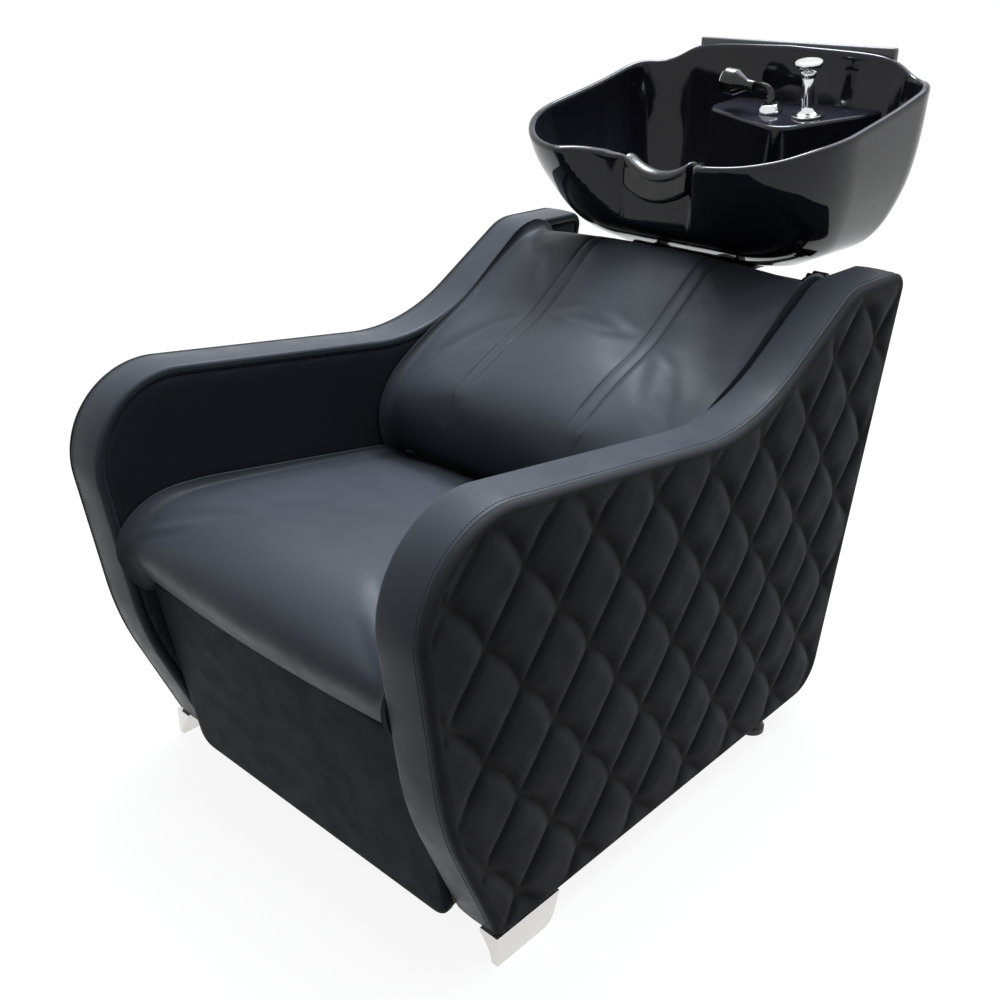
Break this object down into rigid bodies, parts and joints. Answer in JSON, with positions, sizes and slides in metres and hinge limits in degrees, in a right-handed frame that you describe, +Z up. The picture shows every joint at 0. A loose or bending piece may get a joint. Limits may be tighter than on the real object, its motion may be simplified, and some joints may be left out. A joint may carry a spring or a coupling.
{
  "type": "hair washing chair with tilting basin",
  "caption": "Upholstered salon washing chair with quilted arms, fixed seat and back, and a black ceramic basin that tilts on a rear bracket and carries mixer and hand shower.",
  "frame": {"origin": "on the floor, in the middle of the whole object's footprint", "axes": "+Z up, -Y the way the sitter faces, +X the sitter's left"},
  "size_m": [0.69, 1.198, 0.997],
  "materials": {
    "core_board": "plain plywood",
    "band_leather": "smooth black leather, satin",
    "inner_leather": "smooth black leather, satin",
    "quilted_leather": "diamond quilted black leather, satin",
    "seat_leather": "smooth black leather, satin",
    "polished_steel": "polished stainless steel",
    "black_plastic": "satin",
    "frame_paint": "satin black powder coat",
    "black_board": "black laminated board",
    "zinc_steel": "zinc plated",
    "rubber": "matt",
    "black_glaze": "gloss black glaze",
    "grey_plastic": "dark grey, satin",
    "chrome": "polished",
    "white_plastic": "satin",
    "brass": "plain",
    "gloss_black": "gloss",
    "gel": "smooth black gel"
  },
  "bodies": {
    "chair": {"left_arm_core": "core_board", "left_arm_band": "band_leather", "left_inner_pad": "inner_leather", "left_quilted_pad": "quilted_leather", "left_front_foot": "polished_steel", "left_rear_glide": "black_plastic", "left_seat_rail": "frame_paint", "left_top_cover": "black_board", "left_basin_column": "frame_paint", "right_arm_core": "core_board", "right_arm_band": "band_leather", "right_inner_pad": "inner_leather", "right_quilted_pad": "quilted_leather", "right_front_foot": "polished_steel", "right_rear_glide": "black_plastic", "right_seat_rail": "frame_paint", "right_top_cover": "black_board", "right_basin_column": "frame_paint", "seat_cushion": "seat_leather", "seat_board": "black_board", "front_cross_tube": "frame_paint", "middle_cross_tube": "frame_paint", "rear_cross_tube": "frame_paint", "back_cushion": "seat_leather", "back_board": "core_board", "kick_pad": "seat_leather", "kick_board": "core_board", "rear_panel": "black_board", "rear_battens": "core_board", "rear_screws": "zinc_steel", "column_foot_tube": "frame_paint", "support_head": "frame_paint", "hinge_pin": "zinc_steel"},
    "bowl": {"tilt_cradle": "frame_paint", "rubber_buffers": "rubber", "basin": "black_glaze", "basin_floor": "black_glaze", "faucet_deck": "black_glaze", "rear_ledge": "grey_plastic", "drain_body": "chrome", "drain_nut": "white_plastic", "tailpiece": "white_plastic", "mixer_body": "chrome", "mixer_nut": "brass", "supply_tails": "brass", "shower_holder": "chrome", "holder_nut": "brass"},
    "tilt_lock": {"tilt_lock_knob": "black_plastic"},
    "mixer_swivel": {"mixer_collar": "chrome"},
    "mixer_handle": {"mixer_lever": "chrome"},
    "shower": {"hand_shower": "gloss_black", "spray_face": "chrome"},
    "waste_strainer": {"strainer": "chrome"},
    "neck_pad": {"neck_rest": "gel"}
  },
  "joints": [
    {"name": "basin_tilt", "type": "hinge", "parent": "chair", "child": "bowl", "pos_m": [0, 0.356, 0.665], "axis": [-1, 0, 0], "range_deg": [0, 18]},
    {"name": "tilt_lock_turn", "type": "hinge", "parent": "chair", "child": "tilt_lock", "pos_m": [0.204, 0.356, 0.665], "axis": [1, 0, 0], "range_deg": [0, 180]},
    {"name": "mixer_turn", "type": "hinge", "parent": "bowl", "child": "mixer_swivel", "pos_m": [0.082, 0.50079, 0.95582], "axis": [0, -0.1908, 0.9816], "range_deg": [-60, 60]},
    {"name": "mixer_lift", "type": "hinge", "parent": "mixer_swivel", "child": "mixer_handle", "pos_m": [0.082, 0.50054, 0.9571], "axis": [-1, 0, 0], "range_deg": [0, 20]},
    {"name": "shower_lift_off", "type": "slide", "parent": "bowl", "child": "shower", "axis": [0, -0.1908, 0.9816], "range_m": [0, 0.08]},
    {"name": "strainer_lift_out", "type": "slide", "parent": "bowl", "child": "waste_strainer", "axis": [0, 0, 1], "range_m": [0, 0.03]},
    {"name": "neck_pad_lift_off", "type": "slide", "parent": "bowl", "child": "neck_pad", "axis": [0, 0, 1], "range_m": [0, 0.06]}
  ]
}
